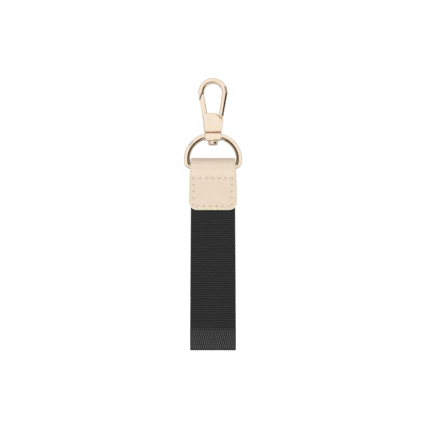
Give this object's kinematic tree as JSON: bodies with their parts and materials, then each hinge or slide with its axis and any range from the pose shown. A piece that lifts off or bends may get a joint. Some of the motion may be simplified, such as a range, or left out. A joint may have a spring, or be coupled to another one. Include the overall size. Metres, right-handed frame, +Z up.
{
  "type": "wristlet keychain",
  "caption": "Webbing loop sewn into a folded leather tab on a D-ring that swivels under a spring-gate snap hook, for carrying keys on the wrist.",
  "frame": {"origin": "where the hook bears on what it hangs from: inside the top of its eye", "axes": "+Z up along the hanging strap, +X to the right, -Y out of the front face"},
  "size_m": [0.0318, 0.011, 0.1489],
  "materials": {
    "hook_body": "polished pale gold plating on a zinc casting",
    "gate_lever": "polished pale gold plating",
    "gate_pin": "plain steel",
    "gate_spring": "plain spring steel",
    "swivel_rivet": "polished pale gold plating",
    "d_ring": "polished pale gold plating on a zinc casting",
    "leather_tab": "smooth cream leather, matt",
    "webbing_strap": "black ribbed webbing",
    "needle_thread": "cream thread",
    "bobbin_thread": "cream thread"
  },
  "bodies": {
    "hook": {"hook_body": "hook_body", "gate_pin": "gate_pin", "gate_spring": "gate_spring", "swivel_rivet": "swivel_rivet"},
    "gate": {"gate_lever": "gate_lever"},
    "ring": {"d_ring": "d_ring"},
    "strap": {"leather_tab": "leather_tab", "webbing_strap": "webbing_strap", "needle_thread": "needle_thread", "bobbin_thread": "bobbin_thread"}
  },
  "joints": [
    {"name": "gate_hinge", "type": "hinge", "parent": "hook", "child": "gate", "pos_m": [-0.00381, 0, -0.0212], "axis": [0, 1, 0], "range_deg": [0, 28], "stiffness_Nm_per_rad": 0.01, "springref_deg": -28.65, "deforming": ["gate_spring"]},
    {"name": "swivel", "type": "hinge", "parent": "hook", "child": "ring", "pos_m": [0, 0, -0.02905], "axis": [0, 0, 1], "continuous": true},
    {"name": "ring_swing", "type": "hinge", "parent": "ring", "child": "strap", "pos_m": [0, 0, -0.0451], "axis": [1, 0, 0], "range_deg": [-115, 115]}
  ]
}
